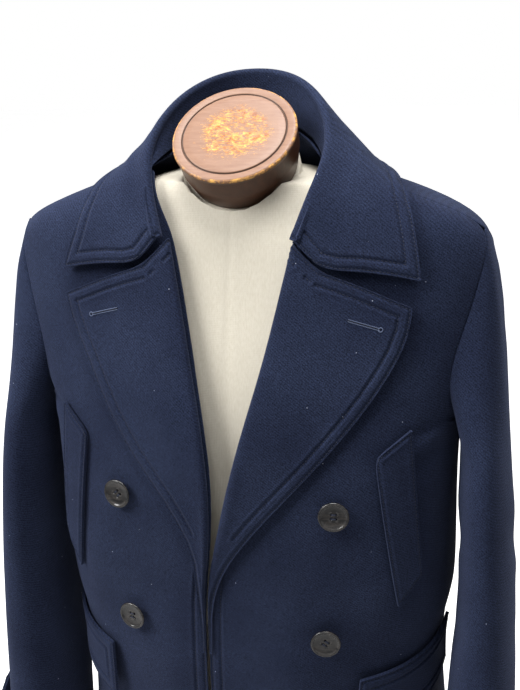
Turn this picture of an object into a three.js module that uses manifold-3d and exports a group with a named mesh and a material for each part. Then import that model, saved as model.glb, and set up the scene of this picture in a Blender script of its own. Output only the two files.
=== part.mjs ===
// A double-breasted pea coat of heavy navy melton, worn open on a limbless dress form.
// Millimetres, +Z up. The fronts of the coat face -Y, and +X is the wearer's left.
// The origin is the centre of the underside of the base.
import * as THREE from 'three';
import Module from 'manifold-3d';
import { mergeVertices } from 'three/addons/utils/BufferGeometryUtils.js';

const wasm = await Module();
wasm.setup();

// ---- driving dimensions ----
const NECK = 1000;            // height of the shoulder seams' neck ends
const HEM = 760;              // drop of the hem below the neck ends
const CLOTH = 2.6;            // melton wall
const FACED = 4;              // two layers of melton, turned and pressed
const SEAM = 0.3;             // gap between two pieces at a seam
const ROLL = 5;               // outer radius of the lapel's and the collar's roll
const TURN_UNDER = 12;        // width of cloth that a roll turns under
const FULL_ROLL = 17;         // lapel width under which its roll and its wall grow thinner
const BUTTON = { radius: 15, thick: 4.2, rim: 2.6, standOff: 3 };
const CUFF_BUTTON = { radius: 9, thick: 3.4, rim: 1.8, standOff: 1.2 };
const BASE = { radius: 170, height: 26, edge: 5 };
const COLUMN = { radius: 17, flange: 42, flangeHeight: 9 };
const CAP = { radius: 60, height: 46, groove: 51, grooveWidth: 2.4, grooveDepth: 1.6, edge: 5 };
const CAP_CENTRE = { y: -8, drop: -30, lean: 35.5 };

// Horizontal sections of the coat's body: half its width, its depth to the front and to the back of
// the shoulder line, and the exponents of the section's curve in front and behind (2 is an ellipse,
// more is squarer).
const BODY = [
  { drop: -30, half: 62, front: 22, back: 75, square: 2, backSquare: 2 },
  { drop: 0, half: 84, front: 30, back: 88, square: 2, backSquare: 2.1 },
  { drop: 15, half: 127, front: 33, back: 103, square: 2.05, backSquare: 2.4 },
  { drop: 30, half: 172, front: 37, back: 117, square: 2.1, backSquare: 2.65 },
  { drop: 45, half: 210, front: 42, back: 123, square: 2.2, backSquare: 2.75 },
  { drop: 60, half: 234, front: 47, back: 128, square: 2.3, backSquare: 2.7 },
  { drop: 90, half: 242, front: 57, back: 133, square: 2.4, backSquare: 2.55 },
  { drop: 125, half: 240, front: 69, back: 136, square: 2.45, backSquare: 2.45 },
  { drop: 160, half: 234, front: 82, back: 137, square: 2.5, backSquare: 2.5 },
  { drop: 200, half: 225, front: 97, back: 136, square: 2.5, backSquare: 2.5 },
  { drop: 255, half: 216, front: 114, back: 132, square: 2.6, backSquare: 2.6 },
  { drop: 310, half: 215, front: 124, back: 125, square: 2.7, backSquare: 2.7 },
  { drop: 380, half: 215, front: 133, back: 117, square: 2.7, backSquare: 2.7 },
  { drop: 445, half: 215, front: 140, back: 113, square: 2.55, backSquare: 2.55 },
  { drop: 500, half: 206, front: 147, back: 115, square: 2.45, backSquare: 2.45 },
  { drop: 600, half: 210, front: 153, back: 126, square: 2.35, backSquare: 2.35 },
  { drop: 760, half: 226, front: 160, back: 142, square: 2.3, backSquare: 2.3 },
];

// The armhole from the shoulder's end to the underarm: the angle from the middle of the front, in
// degrees, where the front and the back stop.
const ARMHOLE = [
  { drop: 57, front: 90, back: 90 },
  { drop: 72, front: 86.4, back: 93.8 },
  { drop: 93, front: 84, back: 98 },
  { drop: 116, front: 82, back: 101.5 },
  { drop: 141, front: 79.8, back: 104.5 },
  { drop: 166, front: 77.6, back: 107 },
  { drop: 191, front: 76.4, back: 108 },
  { drop: 214, front: 77.2, back: 106.5 },
  { drop: 233, front: 81.5, back: 101 },
  { drop: 243, front: 90, back: 90 },
];

// The free edge of each front: up the front edge to the break, then along the lapel's roll line to
// the gorge, then round the neckline.
const FRONT_EDGE = [
  { drop: 2, left: 80, right: -80 },
  { drop: 20, left: 77, right: -76 },
  { drop: 40, left: 70, right: -66 },
  { drop: 57, left: 64, right: -57 },
  { drop: 114, left: 51, right: -43 },
  { drop: 175, left: 37, right: -29 },
  { drop: 236, left: 20, right: -16.5 },
  { drop: 294, left: 5, right: -10.5 },
  { drop: 357, left: -9, right: -12.5 },
  { drop: 380, left: -14, right: -16.5 },
  { drop: 407, left: -16.3, right: -19.8 },
  { drop: 453, left: -17.2, right: -21 },
  { drop: 760, left: -17.5, right: -21.5 },
];

// The lapel's outer edge, from its corner down to the break.
const LAPEL_EDGE = [
  { drop: 119, left: 172, right: -168 },
  { drop: 148, left: 168, right: -158 },
  { drop: 185, left: 149, right: -138 },
  { drop: 216, left: 128, right: -122 },
  { drop: 263, left: 90, right: -91 },
  { drop: 303, left: 54.5, right: -60 },
  { drop: 336, left: 27.5, right: -40 },
  { drop: 360, left: 10.5, right: -30 },
  { drop: 380, left: -0.5, right: -28.2 },
  { drop: 405, left: -9, right: -27 },
  { drop: 430, left: -12.6, right: -25.6 },
  { drop: 470, left: -13.8, right: -24.9 },
];

// The lapel's top edge: from the gorge, where it meets the collar, out to the corner. The share is
// the part of the lapel's width, and drop is added to the straight line between the ends.
const LAPEL_TOP = [
  { share: 0, sag: 0 },
  { share: 0.2, sag: 12.5 },
  { share: 0.5, sag: 6 },
  { share: 0.8, sag: 2 },
  { share: 1, sag: 0 },
];

// Stations round the collar from the middle of the back to the tip of the leaf: the foot of the
// stand, the fold and the leaf's outer edge, each as [x, y, drop], and that edge's x on the right.
const COLLAR = [
  { foot: [0, 72, -30], fold: [0, 78, -78], leaf: [0, 120, 10], rightLeaf: 0 },
  { foot: [24, 70, -29], fold: [28, 72, -76], leaf: [46, 116, 12], rightLeaf: 46 },
  { foot: [46, 58, -24], fold: [52, 58, -68], leaf: [92, 98, 17], rightLeaf: 88 },
  { foot: [66, 38, -16], fold: [72, 37, -53], leaf: [130, 64, 18], rightLeaf: 120 },
  { foot: [78, 12, -6], fold: [83, 11, -31], leaf: [151, 16, 16], rightLeaf: 138 },
  { foot: [84, -17, -3], fold: [84, -14, -7], leaf: [163, -18, 32], rightLeaf: 147 },
  { foot: [84, -42, 22], fold: [74, -40, 20], leaf: [174, -42, 58], rightLeaf: 158 },
  { foot: [72, -62, 58], fold: [61, -57, 57], leaf: [180, -54, 93.5], rightLeaf: 170 },
];

// The collar's front edge, from the gorge past the notch to the tip, as the lapel's top edge.
const COLLAR_FRONT = [
  { share: 0, sag: 0 },
  { share: 0.22, sag: 18 },
  { share: 0.5, sag: 10.5 },
  { share: 0.8, sag: 3 },
  { share: 1, sag: 0 },
];

// The sleeve below the underarm, hanging forward: its inner and outer faces, the middle of its depth
// and half its depth.
const SLEEVE = [
  { drop: 250, inner: 218.5, outer: 263, middle: -8, halfDepth: 74 },
  { drop: 290, inner: 218.5, outer: 268, middle: -19, halfDepth: 77 },
  { drop: 345, inner: 220, outer: 273, middle: -29, halfDepth: 78 },
  { drop: 400, inner: 221.5, outer: 278, middle: -37, halfDepth: 78 },
  { drop: 450, inner: 221, outer: 281.5, middle: -46, halfDepth: 76 },
  { drop: 520, inner: 216, outer: 286, middle: -59, halfDepth: 73 },
  { drop: 600, inner: 213, outer: 289, middle: -74, halfDepth: 70 },
  { drop: 668, inner: 212, outer: 289, middle: -86, halfDepth: 67 },
];
const SLEEVE_SQUARE = 2.3;

// Corners of the chest welts and hip flaps on the fronts: x or the angle round the body, and drop.
const WELT = {
  topInner: { x: 144, drop: 253 }, topOuter: { x: 175, drop: 229 },
  bottomInner: { x: 167, drop: 411 }, bottomOuter: { x: 188, drop: 382 },
};
const FLAP = { frontAngle: 47, sideAngle: 86, frontDrop: 492, sideDrop: 482, depth: 62, thick: 4, lift: 9 };
const WELT_THICK = 4;

const BUTTONS = [
  { drop: 306, x: 108.5 },
  { drop: 443, x: 101 },
  { drop: 580, x: 96 },
];

const CUFF_STRAP = {
  from: -78, to: 42, drop: 604, width: 36, point: 16, thick: 3.4, lift: 9, buttonShare: 0.8,
};

// The dress form's sections, and its neck: leaning rings below the wooden cap.
const FORM = [
  { drop: 785, half: 178, front: 116, back: 106, square: 2.3 },
  { drop: 700, half: 186, front: 122, back: 108, square: 2.3 },
  { drop: 600, half: 186, front: 124, back: 106, square: 2.3 },
  { drop: 500, half: 174, front: 118, back: 94, square: 2.3 },
  { drop: 430, half: 162, front: 110, back: 90, square: 2.3 },
  { drop: 340, half: 170, front: 108, back: 100, square: 2.3 },
  { drop: 255, half: 182, front: 98, back: 114, square: 2.4 },
  { drop: 190, half: 192, front: 82, back: 121, square: 2.4 },
  { drop: 130, half: 200, front: 62, back: 122, square: 2.35 },
  { drop: 90, half: 203, front: 50, back: 120, square: 2.3 },
  { drop: 66, half: 198, front: 43, back: 117, square: 2.25 },
  { drop: 52, half: 180, front: 38, back: 113, square: 2.15 },
  { drop: 38, half: 152, front: 34, back: 106, square: 2.05 },
  { drop: 24, half: 116, front: 31, back: 94, square: 2 },
  { drop: 14, half: 88, front: 28, back: 84, square: 2 },
];
const NECK_RINGS = [
  { drop: 110, y: 12, radius: 58, lean: 20 },
  { drop: 66, y: 14, radius: 61, lean: 24 },
  { drop: 40, y: 17, radius: 60, lean: 29 },
  { drop: 20, y: 19, radius: 57, lean: 33 },
];

const COLOURS = {
  melton: 0x23283f, horn: 0x2e2b2b, linen: 0xd9d4c8, wood: 0x6b3a1e, stand: 0x3a2116,
};

// ---- small tools ----
const lerp = (a, b, t) => a + (b - a) * t;
const radians = THREE.MathUtils.degToRad;
const steps = (count, make) => Array.from({ length: count + 1 }, (_, i) => make(i / count, i));
const signedPower = (v, p) => Math.sign(v) * Math.abs(v) ** p;

// One column of a table, read at a value of its key column along a smooth curve through its rows.
function along(table, key, column, at) {
  const rows = [...table].sort((a, b) => a[key] - b[key]);
  const value = Math.min(Math.max(at, rows[0][key]), rows[rows.length - 1][key]);
  let i = 0;
  while (i < rows.length - 2 && value > rows[i + 1][key]) i += 1;
  const slope = (j) => {
    const a = rows[Math.max(j - 1, 0)];
    const b = rows[Math.min(j + 1, rows.length - 1)];
    return (b[column] - a[column]) / (b[key] - a[key]);
  };
  const span = rows[i + 1][key] - rows[i][key];
  const t = (value - rows[i][key]) / span;
  const rise = rows[i + 1][column] - rows[i][column];
  const bend0 = slope(i) * span - rise;
  const bend1 = rise - slope(i + 1) * span;
  return rows[i][column] + rise * t + t * (1 - t) * (bend0 * (1 - t) + bend1 * t);
}

// ---- the coat's body ----
// The body's outer face at an angle round it (0 at the middle of the front) and a drop.
function bodyFace(angle, drop) {
  const [s, c] = [Math.sin(radians(angle)), Math.cos(radians(angle))];
  const columns = c > 0 ? ['half', 'front', 'square'] : ['half', 'back', 'backSquare'];
  const [half, depth, square] = columns.map((column) => along(BODY, 'drop', column, drop));
  const reach = (Math.abs(s / half) ** square + Math.abs(c / depth) ** square) ** (-1 / square);
  return new THREE.Vector3(reach * s, -reach * c, NECK - drop);
}

function bodyNormal(angle, drop) {
  const round = bodyFace(angle + 0.5, drop).sub(bodyFace(angle - 0.5, drop));
  const down = bodyFace(angle, drop + 1.5).sub(bodyFace(angle, drop - 1.5));
  return down.cross(round).normalize();
}

// A point over the body's face, moved out along its normal.
const onBody = (angle, drop, out = 0) => bodyFace(angle, drop).addScaledVector(bodyNormal(angle, drop), out);

// The angle at which the front's face has a given x.
function angleAt(x, drop) {
  const [half, front, square] = ['half', 'front', 'square'].map((c) => along(BODY, 'drop', c, drop));
  const share = Math.min(Math.abs(x) / half, 0.9999);
  const y = front * (1 - share ** square) ** (1 / square);
  return THREE.MathUtils.radToDeg(Math.atan2(x, y));
}

const onFront = (x, drop, out = 0) => onBody(angleAt(x, drop), drop, out);

// Moves a point out of the body until it stands a given distance off the body's face.
function clearOfBody(point, distance) {
  const p = point.clone();
  const level = (q) => {
    const drop = NECK - q.z;
    const face = bodyFace(THREE.MathUtils.radToDeg(Math.atan2(q.x, -q.y)), drop);
    return Math.hypot(q.x, q.y) - Math.hypot(face.x, face.y);
  };
  for (let round = 0; round < 5; round += 1) {
    const here = level(p);
    const slope = new THREE.Vector3(
      level(p.clone().setX(p.x + 0.5)) - here,
      level(p.clone().setY(p.y + 0.5)) - here,
      level(p.clone().setZ(p.z + 0.5)) - here,
    ).multiplyScalar(2);
    const away = here / slope.length();
    if (away < distance) p.addScaledVector(slope.normalize(), distance - away);
  }
  return p;
}

// ---- meshes from grids of points ----
// A closed wall between two grids of points of the same size; round joins the ends of each row.
function wall(outer, inner, { round = false } = {}) {
  const rows = outer.length;
  const columns = outer[0].length;
  const points = [...outer.flat(), ...inner.flat()];
  const id = (side, i, j) => side * rows * columns + i * columns + (j % columns);
  const triangles = [];
  const quad = (a, b, c, d) => triangles.push(a, b, c, a, c, d);
  const across = round ? columns : columns - 1;
  for (let i = 0; i < rows - 1; i += 1) {
    for (let j = 0; j < across; j += 1) {
      quad(id(0, i, j), id(0, i + 1, j), id(0, i + 1, j + 1), id(0, i, j + 1));
      quad(id(1, i, j), id(1, i, j + 1), id(1, i + 1, j + 1), id(1, i + 1, j));
    }
  }
  for (let j = 0; j < across; j += 1) {
    quad(id(0, 0, j), id(0, 0, j + 1), id(1, 0, j + 1), id(1, 0, j));
    quad(id(0, rows - 1, j + 1), id(0, rows - 1, j), id(1, rows - 1, j), id(1, rows - 1, j + 1));
  }
  for (let i = 0; i < rows - 1 && !round; i += 1) {
    quad(id(0, i + 1, 0), id(0, i, 0), id(1, i, 0), id(1, i + 1, 0));
    quad(id(0, i, across), id(0, i + 1, across), id(1, i + 1, across), id(1, i, across));
  }
  return solid(points, triangles);
}

// A solid loft through rings, closed by a fan at each end.
function loft(rings) {
  const count = rings[0].length;
  const points = rings.flat();
  const triangles = [];
  for (let i = 0; i < rings.length - 1; i += 1) {
    for (let j = 0; j < count; j += 1) {
      const [a, b] = [i * count + j, i * count + ((j + 1) % count)];
      triangles.push(a, b, b + count, a, b + count, a + count);
    }
  }
  for (const [start, turn] of [[0, 1], [(rings.length - 1) * count, -1]]) {
    for (let j = 1; j < count - 1; j += 1) {
      triangles.push(start, start + (turn > 0 ? j + 1 : j), start + (turn > 0 ? j : j + 1));
    }
  }
  return solid(points, triangles);
}

// A geometry with its faces pointing out, whichever way the grid ran.
function solid(points, triangles) {
  let volume = 0;
  for (let i = 0; i < triangles.length; i += 3) {
    const [a, b, c] = [0, 1, 2].map((k) => points[triangles[i + k]]);
    volume += a.dot(b.clone().cross(c));
  }
  const geometry = new THREE.BufferGeometry().setFromPoints(points);
  geometry.setIndex(volume > 0 ? triangles : triangles.reverse());
  geometry.computeVertexNormals();
  return geometry;
}

// The face inside a grid of points, a wall's thickness away, on the side that turn (1 or -1) gives.
// The thickness is one number, or a list with one for each row.
function inside(grid, thick, turn, { round = false } = {}) {
  const rows = grid.length;
  const columns = grid[0].length;
  return grid.map((row, i) => row.map((point, j) => {
    const [left, right] = round
      ? [row[(j + columns - 1) % columns], row[(j + 1) % columns]]
      : [row[Math.max(j - 1, 0)], row[Math.min(j + 1, columns - 1)]];
    const down = grid[Math.min(i + 1, rows - 1)][j].clone().sub(grid[Math.max(i - 1, 0)][j]);
    const normal = down.cross(right.clone().sub(left)).normalize();
    return point.clone().addScaledVector(normal, -turn * (thick[i] ?? thick));
  }));
}

// Two closed geometries joined into one, less a third.
function joined(...geometries) {
  const [a, b, cut] = geometries.map((geometry) => {
    const bare = geometry.clone().deleteAttribute('normal');
    const { attributes, index } = mergeVertices(bare);
    return new wasm.Manifold(new wasm.Mesh({
      numProp: 3, vertProperties: attributes.position.array, triVerts: new Uint32Array(index.array),
    }));
  });
  const mesh = a.add(b).subtract(cut).getMesh();
  const geometry = new THREE.BufferGeometry();
  geometry.setAttribute('position', new THREE.BufferAttribute(mesh.vertProperties, 3));
  geometry.setIndex([...mesh.triVerts]);
  geometry.computeVertexNormals();
  return geometry;
}

const material = (color, roughness) => new THREE.MeshStandardMaterial({ color, roughness, metalness: 0 });
const melton = material(COLOURS.melton, 0.95);
const horn = material(COLOURS.horn, 0.35);
const linen = material(COLOURS.linen, 0.9);
const cappedWood = material(COLOURS.wood, 0.45);
const standWood = material(COLOURS.stand, 0.5);

function piece(name, geometry, finish) {
  const mesh = new THREE.Mesh(geometry, finish);
  mesh.name = name;
  return mesh;
}

// ---- back and fronts ----
const ARMHOLE_DROPS = ARMHOLE.map((row) => row.drop);
const SIDE_DROPS = [268, 300, 340, 380, 415, 445, 463, 481, 499, 520, 560, 620, 690, HEM];
const BACK_NECK = { middle: -25, side: 4 };

// A wall on the body's face, from a list of rows, each a list of angles and drops.
function bodyPanel(rows) {
  const grid = (out) => rows.map((row) => row.map(({ angle, drop }) => onBody(angle, drop, out)));
  return wall(grid(0), grid(-CLOTH));
}

// Half a seam's gap as an angle, at a given drop.
const seamAngle = (drop) => THREE.MathUtils.radToDeg(SEAM / 2 / along(BODY, 'drop', 'half', drop));

function armholeAngle(drop, panel) {
  return Math.abs(90 - along(ARMHOLE, 'drop', panel, Math.max(drop, ARMHOLE_DROPS[0])));
}

const inArmhole = (drop) => drop > ARMHOLE_DROPS[0] && drop < ARMHOLE_DROPS[ARMHOLE_DROPS.length - 1];
const pastSeam = (drop, panel) => (inArmhole(drop) ? armholeAngle(drop, panel) : seamAngle(drop));

// The angle at a share of the way from a panel's start to its end by the armhole. Only the last
// columns follow the armhole.
const FOLLOW = 0.72;
function columnAngle(start, side, end, share) {
  const turn = lerp(start, side, FOLLOW);
  return share < FOLLOW ? lerp(start, side, share) : lerp(turn, end, (share - FOLLOW) / (1 - FOLLOW));
}

function backPanel() {
  const columns = 18;
  const neckRows = steps(4, (v) => steps(columns, (u) => {
    const middle = Math.sin(Math.PI * u) ** 0.8;
    const top = lerp(BACK_NECK.side, BACK_NECK.middle, middle);
    const drop = lerp(top, ARMHOLE_DROPS[0], v);
    return { angle: lerp(90 + seamAngle(drop), 270 - seamAngle(drop), u), drop };
  }));
  const rows = [...ARMHOLE_DROPS.slice(1), ...SIDE_DROPS].map((drop) => steps(columns, (u) => {
    const hand = u < 0.5 ? -1 : 1;
    const past = pastSeam(drop, 'back');
    return { angle: columnAngle(180, 180 + hand * 90, 180 + hand * (90 - past), Math.abs(2 * u - 1)), drop };
  }));
  return bodyPanel([...neckRows, ...rows]);
}

function frontPanel(side) {
  const column = side > 0 ? 'left' : 'right';
  const neckDrops = [4, 17, 30, 44, ARMHOLE_DROPS[0]];
  const drops = [...neckDrops, ...ARMHOLE_DROPS.slice(1), ...SIDE_DROPS];
  return bodyPanel(drops.map((drop) => {
    const start = angleAt(along(FRONT_EDGE, 'drop', column, drop), drop);
    const end = side * (90 - pastSeam(drop, 'front'));
    return steps(10, (u) => ({ angle: columnAngle(start, side * 90, end, u), drop }));
  }));
}

// ---- lapels: each front's turned edge with its facing, rolled over onto the front ----
// The points of one row across a rolled layer: turned under, round the roll, then out to its edge.
// across is the width, height(share) how far the face stands off.
function rolledRow(width, roll, place, height) {
  const under = Math.max(1.1 * roll, Math.min(TURN_UNDER, width * 0.36));
  const low = SEAM * 5;
  const arc = [-90, -135, 180, 135, 90].map((a) => ({
    across: roll + roll * Math.cos(radians(a)),
    out: low + roll + roll * Math.sin(radians(a)),
  }));
  const face = steps(5, (t) => ({ across: lerp(roll, width, t), out: height(t) })).slice(1);
  return [{ across: under, out: low }, ...arc, ...face].map(({ across, out }) => place(across / width, out));
}

function lapel(side) {
  const column = side > 0 ? 'left' : 'right';
  const gorge = 57;
  const lastEdge = LAPEL_EDGE[LAPEL_EDGE.length - 1];
  const walls = [];
  const rows = steps(17, (v) => {
    const rollDrop = lerp(gorge + 5, lastEdge.drop - 2, v ** 1.15);
    const edgeDrop = lerp(LAPEL_EDGE[0].drop, lastEdge.drop, v);
    const rollX = along(FRONT_EDGE, 'drop', column, rollDrop);
    const edgeX = along(LAPEL_EDGE, 'drop', column, edgeDrop);
    const width = Math.abs(edgeX - rollX);
    const place = (share, out) => {
      const sag = along(LAPEL_TOP, 'share', 'sag', share) * Math.max(0, 1 - v * 9);
      return onFront(lerp(rollX, edgeX, share), lerp(rollDrop, edgeDrop, share) + sag, out);
    };
    const share = Math.min(1, width / FULL_ROLL);
    const roll = Math.max(1.3, ROLL * share);
    const thick = Math.max(1.1, FACED * share);
    walls.push(thick);
    return rolledRow(width, roll, place, (t) => lerp(2 * roll + 5 * SEAM, thick + 2.2, t ** 0.7));
  });
  return wall(rows, inside(rows, walls, side));
}

// ---- collar: a stand that folds over into two leaves ----
function collar() {
  const station = (row, side) => {
    const [foot, fold, edge] = [row.foot, row.fold, row.leaf]
      .map(([x, y, drop]) => new THREE.Vector3(side * x, y, NECK - drop));
    if (side < 0) edge.x = -row.rightLeaf;
    return { side, foot, fold, edge };
  };
  const stations = [...COLLAR].reverse().map((row) => station(row, -1));
  stations.push(...COLLAR.slice(1).map((row) => station(row, 1)));
  const folds = stations.map(({ fold }) => fold);
  const rows = stations.map(({ side, foot, fold, edge }, i) => {
    const tangent = folds[Math.min(i + 1, folds.length - 1)].clone().sub(folds[Math.max(i - 1, 0)]);
    const fall = edge.clone().sub(fold);
    const width = fall.length();
    fall.normalize();
    const out = fall.clone().cross(tangent).normalize();
    if (out.dot(new THREE.Vector3(fold.x, fold.y - 40 * Math.abs(side), 0)) < 0) out.negate();
    const fromFront = Math.min(i, stations.length - 1 - i);
    const pull = [1, 0.35, 0.1][fromFront] ?? 0;
    const at = (across, up) => fold.clone().addScaledVector(fall, across).addScaledVector(out, up);
    const stand = at(ROLL, -ROLL).lerp(foot, 0.5);
    const arc = [-90, -135, 180, 135, 90].map(radians)
      .map((a) => at(ROLL + ROLL * Math.cos(a), ROLL * Math.sin(a)));
    const leaf = steps(6, (t) => {
      const share = lerp(ROLL / width, 1, t);
      const point = at(share * width, ROLL * (1 - t));
      point.z -= pull * along(COLLAR_FRONT, 'share', 'sag', share);
      return clearOfBody(point, lerp(FACED + 10, FACED + 5.2, t));
    }).slice(1);
    return [foot, stand, ...arc, ...leaf];
  });
  return wall(rows, inside(rows, FACED, 1));
}

// ---- sleeves ----
const AROUND = 2 * (ARMHOLE.length - 1);

// A ring of the sleeve below the underarm, by the angle from its outer side towards the front.
function sleevePoint(angle, drop, tilt = 0) {
  const level = drop + tilt * Math.cos(radians(angle));
  const [inner, outer, middle, halfDepth] = ['inner', 'outer', 'middle', 'halfDepth']
    .map((c) => along(SLEEVE, 'drop', c, level));
  const power = 2 / SLEEVE_SQUARE;
  const x = (inner + outer) / 2 + (outer - inner) / 2 * signedPower(Math.cos(radians(angle)), power);
  const y = middle - halfDepth * signedPower(Math.sin(radians(angle)), power);
  return new THREE.Vector3(x, y, NECK - level);
}

// The armhole's edge as the body's panels have it, moved into the hole by the seam's gap.
function armholeRing(out) {
  const last = ARMHOLE.length - 1;
  return steps(AROUND - 1, (_, i) => {
    const onFrontPanel = i <= last;
    const row = ARMHOLE[onFrontPanel ? i : AROUND - i];
    const into = Math.cos(Math.PI * (onFrontPanel ? i : AROUND - i) / last);
    const point = onBody(onFrontPanel ? row.front : row.back, row.drop, out);
    const sideways = Math.sqrt(1 - into ** 2) * (onFrontPanel ? 1 : -1);
    return point.add(new THREE.Vector3(0, sideways * 1.6 * SEAM, -into * 1.6 * SEAM));
  });
}

function sleeve(side) {
  const capRows = 5;
  const top = armholeRing(0);
  const tube = (drop, tilt) => steps(AROUND - 1, (_, j) => sleevePoint(j * 360 / AROUND, drop, tilt));
  const mouth = tube(256, -8);
  const rows = [top];
  for (let k = 1; k < capRows; k += 1) {
    const t = k / capRows;
    rows.push(top.map((start, j) => {
      const outward = Math.max(0, Math.cos(radians(j * 360 / AROUND)));
      const puff = 8 * Math.sin(Math.PI * t ** 0.75) * outward ** 1.5;
      const point = start.clone().lerp(mouth[j], t ** 1.2);
      point.x += puff * 0.8;
      point.z += puff * 0.35 * (1 - t);
      return point;
    }));
  }
  rows.push(mouth);
  rows.push(...steps(10, (t) => tube(lerp(275, SLEEVE[SLEEVE.length - 1].drop, t), lerp(-6, 0, t))));
  const within = inside(rows, CLOTH, -1, { round: true });
  within[0] = armholeRing(-CLOTH);
  const mirrored = (grid) => grid.map((row) => row.map((p) => new THREE.Vector3(side * p.x, p.y, p.z)));
  return wall(mirrored(rows), mirrored(within), { round: true });
}

// ---- pockets ----
function chestWelt(side) {
  const { topInner, topOuter, bottomInner, bottomOuter } = WELT;
  const grid = (out) => steps(7, (v) => steps(3, (u) => {
    const x = lerp(lerp(topInner.x, topOuter.x, u), lerp(bottomInner.x, bottomOuter.x, u), v);
    const drop = lerp(lerp(topInner.drop, topOuter.drop, u), lerp(bottomInner.drop, bottomOuter.drop, u), v);
    return onFront(side * x, drop, out);
  }));
  return wall(grid(2 * SEAM + WELT_THICK), grid(2 * SEAM));
}

function hipFlap(side) {
  const grid = (out) => steps(4, (v) => steps(6, (u) => {
    const angle = side * lerp(FLAP.frontAngle - 3 * v, FLAP.sideAngle, u);
    const lift = FLAP.lift * v * (1 - u) ** 2;
    return onBody(angle, lerp(FLAP.frontDrop, FLAP.sideDrop, u) + FLAP.depth * v, out + lift);
  }));
  return wall(grid(4 * SEAM + FLAP.thick), grid(4 * SEAM));
}

// ---- cuffs: a pointed strap round the outer side of each, with one small button ----
function cuffFace(side, angle, drop, out) {
  const point = sleevePoint(angle, drop);
  const round = sleevePoint(angle + 2, drop).sub(sleevePoint(angle - 2, drop));
  const normal = new THREE.Vector3(-round.y, round.x, 0).normalize();
  if (normal.x * Math.cos(radians(angle)) - normal.y * Math.sin(radians(angle)) < 0) normal.negate();
  point.addScaledVector(normal, out);
  return point.setX(side * point.x);
}

const strapAngle = (share) => lerp(CUFF_STRAP.from, CUFF_STRAP.to, share);
const strapLift = (share) => CUFF_STRAP.lift * Math.max(0, (share - 0.72) / 0.28) ** 2;

function cuffStrap(side) {
  const grid = (out) => steps(14, (u) => {
    const end = Math.max(0, (u - 0.86) / 0.14);
    const half = CUFF_STRAP.width / 2 - CUFF_STRAP.point * end * 0.95;
    const height = out + strapLift(u);
    return steps(2, (v) => cuffFace(side, strapAngle(u), CUFF_STRAP.drop + lerp(-half, half, v), height));
  });
  return wall(grid(2.5 * SEAM + CUFF_STRAP.thick), grid(2.5 * SEAM));
}

// ---- buttons: turned horn with a raised rim, on a thread shank ----
function buttonGeometry({ radius, thick, rim, standOff }, segments) {
  const shank = radius * 0.2;
  const back = standOff;
  const front = standOff + thick;
  const profile = [
    [0, SEAM], [shank, SEAM], [shank, back], [radius * 0.8, back], [radius, back + thick * 0.45],
    [radius - rim * 0.35, front], [radius - rim, front],
    [radius - rim * 1.5, front - thick * 0.3], [0, front - thick * 0.3],
  ];
  const lathe = new THREE.LatheGeometry(profile.map(([r, z]) => new THREE.Vector2(r, z)), segments);
  return lathe.rotateX(Math.PI / 2);
}

function seatedButton(name, size, point, normal) {
  const mesh = piece(name, buttonGeometry(size, 20), horn);
  mesh.position.copy(point);
  mesh.quaternion.setFromUnitVectors(new THREE.Vector3(0, 0, 1), normal);
  return mesh;
}

function cuffButton(name, side) {
  const { drop, thick, buttonShare } = CUFF_STRAP;
  const strapFace = 2.5 * SEAM + thick + strapLift(buttonShare);
  const [seat, above] = [3 * SEAM, 1 + 3 * SEAM]
    .map((gap) => cuffFace(side, strapAngle(buttonShare), drop, strapFace + gap));
  return seatedButton(name, CUFF_BUTTON, seat, above.sub(seat));
}

// ---- dress form and stand ----
const ringAngles = (count) => steps(count - 1, (_, j) => 2 * Math.PI * j / count);

// The torso and the neck are joined into one solid, cut flat where the wooden cap sits.
function formTorso() {
  const rings = steps(26, (t) => {
    const rows = FORM.map((row, key) => ({ ...row, key }));
    const [drop, half, front, back, square] = ['drop', 'half', 'front', 'back', 'square']
      .map((column) => along(rows, 'key', column, t * (FORM.length - 1)));
    return ringAngles(28).map((angle) => {
      const [s, c] = [Math.sin(angle), Math.cos(angle)];
      const depth = c > 0 ? front : back;
      const reach = (Math.abs(s / half) ** square + Math.abs(c / depth) ** square) ** (-1 / square);
      return new THREE.Vector3(reach * s, -reach * c, NECK - drop);
    });
  });
  const leaning = (ring) => ringAngles(28).map((angle) => {
    const back = ring.radius * -Math.cos(angle);
    const tilt = radians(ring.lean);
    return new THREE.Vector3(
      ring.radius * Math.sin(angle), ring.y + back * Math.cos(tilt), NECK - ring.drop + back * Math.sin(tilt),
    );
  });
  const belowCap = (depth, radius) => ({
    drop: CAP_CENTRE.drop + depth * Math.cos(radians(CAP_CENTRE.lean)),
    y: CAP_CENTRE.y + depth * Math.sin(radians(CAP_CENTRE.lean)),
    radius,
    lean: CAP_CENTRE.lean,
  });
  const seat = CAP.height + SEAM;
  const neckRings = [...NECK_RINGS, belowCap(seat - 8, CAP.radius - 4)].map(leaning);
  const capSpace = [belowCap(seat, CAP.radius + 1), belowCap(-60, CAP.radius + 1)].map(leaning);
  return joined(loft(rings), loft(neckRings), loft(capSpace));
}

function neckCap() {
  const { radius, height, groove, grooveWidth, grooveDepth, edge } = CAP;
  const profile = [[0, -height], [radius - 3, -height], [radius - 1, -height * 0.6]];
  profile.push(...steps(4, (t) => Math.PI / 2 * t)
    .map((a) => [radius - edge + edge * Math.cos(a), -edge + edge * Math.sin(a)]));
  profile.push([groove + grooveWidth, 0], [groove, -grooveDepth], [groove - grooveWidth, 0], [0, 0]);
  const lathe = new THREE.LatheGeometry(profile.map(([r, z]) => new THREE.Vector2(r, z)), 40);
  const cap = piece('neck_cap', lathe.rotateX(Math.PI / 2), cappedWood);
  cap.position.set(0, CAP_CENTRE.y, NECK - CAP_CENTRE.drop);
  cap.rotation.x = radians(CAP_CENTRE.lean);
  return cap;
}

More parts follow.
